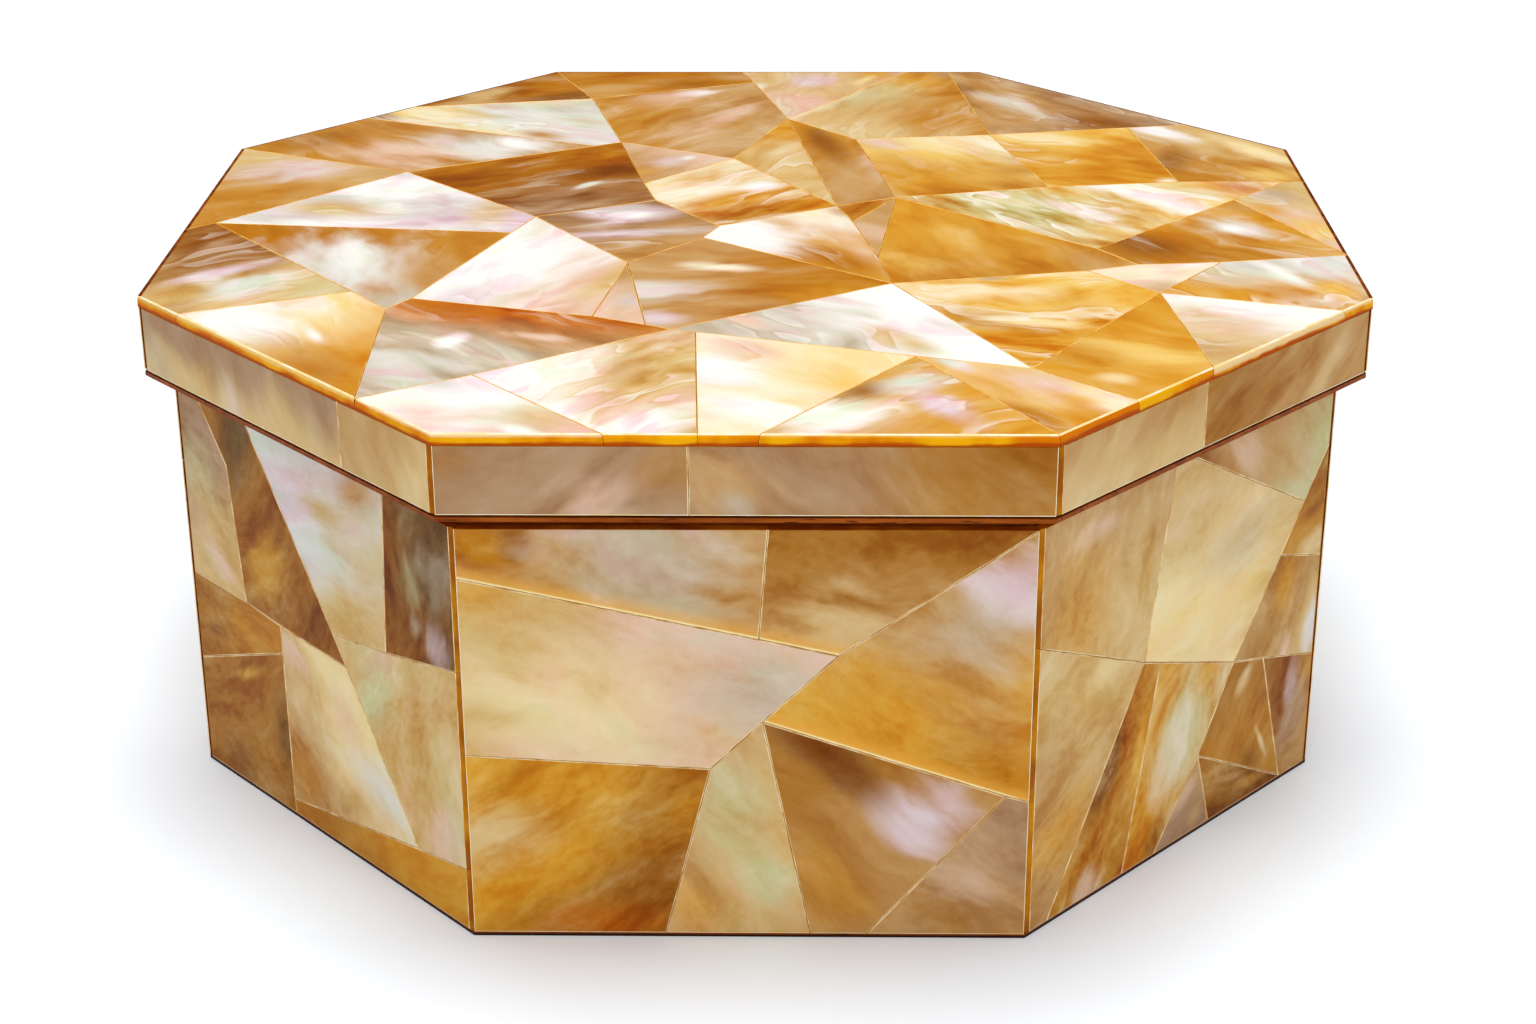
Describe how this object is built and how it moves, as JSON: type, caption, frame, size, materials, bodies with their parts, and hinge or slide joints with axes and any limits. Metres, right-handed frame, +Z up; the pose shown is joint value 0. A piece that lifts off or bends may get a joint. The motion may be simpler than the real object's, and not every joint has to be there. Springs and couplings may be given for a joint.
{
  "type": "octagonal shell mosaic box with lift-off lid",
  "caption": "Hollow octagonal trinket box paved with irregular plates of gold mother-of-pearl, with a cap lid that lifts off, for holding jewelry or small things.",
  "frame": {"origin": "middle of the underside, on the surface the box stands on", "axes": "+Z up, towards the lid; -Y out of the front face; +X to the right of someone who looks at the front"},
  "size_m": [0.15, 0.156, 0.0642],
  "materials": {
    "lid_shell": "polished gold mother-of-pearl with silky streaks, high gloss",
    "side_shell": "satin honey and champagne mother-of-pearl with soft clouds",
    "rim_shell": "satin champagne tan mother-of-pearl, faintly streaked",
    "wood": "reddish brown stained wood, satin"
  },
  "bodies": {
    "root": {"body_carcass": "wood", "lid_carcass": "wood", "body_mosaic_front": "side_shell", "body_mosaic_front_right": "side_shell", "body_mosaic_right": "side_shell", "body_mosaic_back_right": "side_shell", "body_mosaic_back": "side_shell", "body_mosaic_back_left": "side_shell", "body_mosaic_left": "side_shell", "body_mosaic_front_left": "side_shell", "lid_rim_mosaic": "rim_shell", "lid_plate_01": "lid_shell", "lid_plate_02": "lid_shell", "lid_plate_03": "lid_shell", "lid_plate_04": "lid_shell", "lid_plate_05": "lid_shell", "lid_plate_06": "lid_shell", "lid_plate_07": "lid_shell", "lid_plate_08": "lid_shell", "lid_plate_09": "lid_shell", "lid_plate_10": "lid_shell", "lid_plate_11": "lid_shell", "lid_plate_12": "lid_shell", "lid_plate_13": "lid_shell", "lid_plate_14": "lid_shell", "lid_plate_15": "lid_shell", "lid_plate_16": "lid_shell", "lid_plate_17": "lid_shell", "lid_plate_18": "lid_shell", "lid_plate_19": "lid_shell", "lid_plate_20": "lid_shell", "lid_plate_21": "lid_shell", "lid_plate_22": "lid_shell", "lid_plate_23": "lid_shell", "lid_plate_24": "lid_shell", "lid_plate_25": "lid_shell", "lid_plate_26": "lid_shell", "lid_plate_27": "lid_shell", "lid_plate_28": "lid_shell", "lid_plate_29": "lid_shell", "lid_plate_30": "lid_shell", "lid_plate_31": "lid_shell", "lid_plate_32": "lid_shell", "lid_plate_33": "lid_shell", "lid_plate_34": "lid_shell", "lid_plate_35": "lid_shell", "lid_plate_36": "lid_shell", "lid_plate_37": "lid_shell", "lid_plate_38": "lid_shell", "lid_plate_39": "lid_shell", "lid_plate_40": "lid_shell", "lid_plate_41": "lid_shell", "lid_plate_42": "lid_shell", "lid_plate_43": "lid_shell", "lid_plate_44": "lid_shell"}
  },
  "joints": []
}
